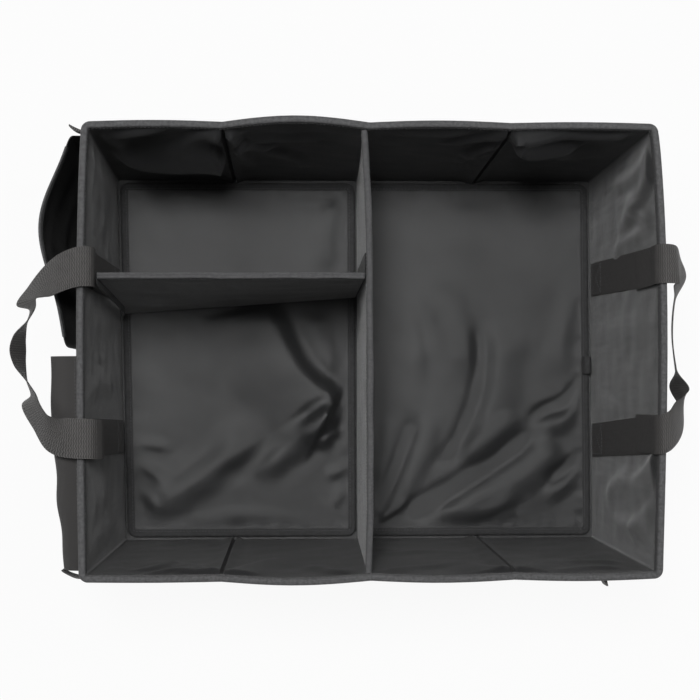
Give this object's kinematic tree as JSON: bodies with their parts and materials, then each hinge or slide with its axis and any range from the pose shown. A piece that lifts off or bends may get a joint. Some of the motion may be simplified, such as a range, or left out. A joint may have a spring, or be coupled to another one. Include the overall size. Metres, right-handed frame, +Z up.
{
  "type": "car trunk organizer",
  "caption": "Open cloth box with stiff folding walls, a fixed and a lift-out divider, covered base boards, webbing handles at both ends and two pockets outside one end.",
  "frame": {"origin": "centre of the underside, on the surface that the box stands on", "axes": "+Z up out of the open top, +X along the length towards the end with one large compartment, +Y towards the back long wall"},
  "size_m": [0.6587, 0.4548, 0.2902],
  "materials": {
    "outer_cloth": "matte",
    "lining": "satin",
    "binding_tape": "matte",
    "webbing": "matte",
    "flap_cloth": "matte",
    "hook_tape": "matte",
    "stiff_board": "matte"
  },
  "bodies": {
    "box": {"outer_cloth_back": "outer_cloth", "outer_cloth_right": "outer_cloth", "outer_cloth_front": "outer_cloth", "outer_cloth_left": "outer_cloth", "outer_cloth_bottom": "outer_cloth", "lining_back": "lining", "lining_right": "lining", "lining_front": "lining", "lining_left": "lining", "lining_bottom": "lining", "back_board_left_end": "stiff_board", "back_board_left_middle": "stiff_board", "back_board_right_middle": "stiff_board", "back_board_right_end": "stiff_board", "front_board_left_end": "stiff_board", "front_board_left_middle": "stiff_board", "front_board_right_middle": "stiff_board", "front_board_right_end": "stiff_board", "left_board": "stiff_board", "right_board": "stiff_board", "rim_binding": "binding_tape", "left_pad_underside": "lining", "left_pad_board": "stiff_board", "left_pad_cover": "lining", "left_pad_binding": "binding_tape", "main_divider_left_face": "lining", "main_divider_right_face": "lining", "main_divider_board": "stiff_board", "main_divider_binding": "binding_tape", "handle_anchor_left_back": "webbing", "handle_anchor_left_front": "webbing", "handle_anchor_right_back": "webbing", "handle_anchor_right_front": "webbing", "handle_loop_left": "webbing", "handle_loop_right": "webbing", "open_pocket_panel": "outer_cloth", "flap_pocket_panel": "outer_cloth", "open_pocket_binding": "binding_tape", "pocket_flap": "flap_cloth", "flap_hook_strip": "hook_tape", "pocket_loop_strip": "hook_tape", "corner_tab_front": "webbing", "corner_tab_back": "webbing", "front_wall_tab": "webbing"},
    "right_base_pad": {"right_pad_underside": "lining", "right_pad_board": "stiff_board", "right_pad_cover": "lining", "right_pad_binding": "binding_tape", "pull_tab": "webbing"},
    "cross_divider": {"cross_divider_front_face": "lining", "cross_divider_back_face": "lining", "cross_divider_board": "stiff_board", "cross_divider_binding": "binding_tape", "cross_divider_left_flap": "hook_tape", "cross_divider_right_flap": "hook_tape"}
  },
  "joints": [
    {"name": "right_pad_lift", "type": "hinge", "parent": "box", "child": "right_base_pad", "pos_m": [0.002, 0, 0.0086], "axis": [0, -1, 0], "range_deg": [0, 86]},
    {"name": "cross_divider_lift", "type": "slide", "parent": "box", "child": "cross_divider", "axis": [0, 0, 1], "range_m": [0, 0.29]}
  ]
}
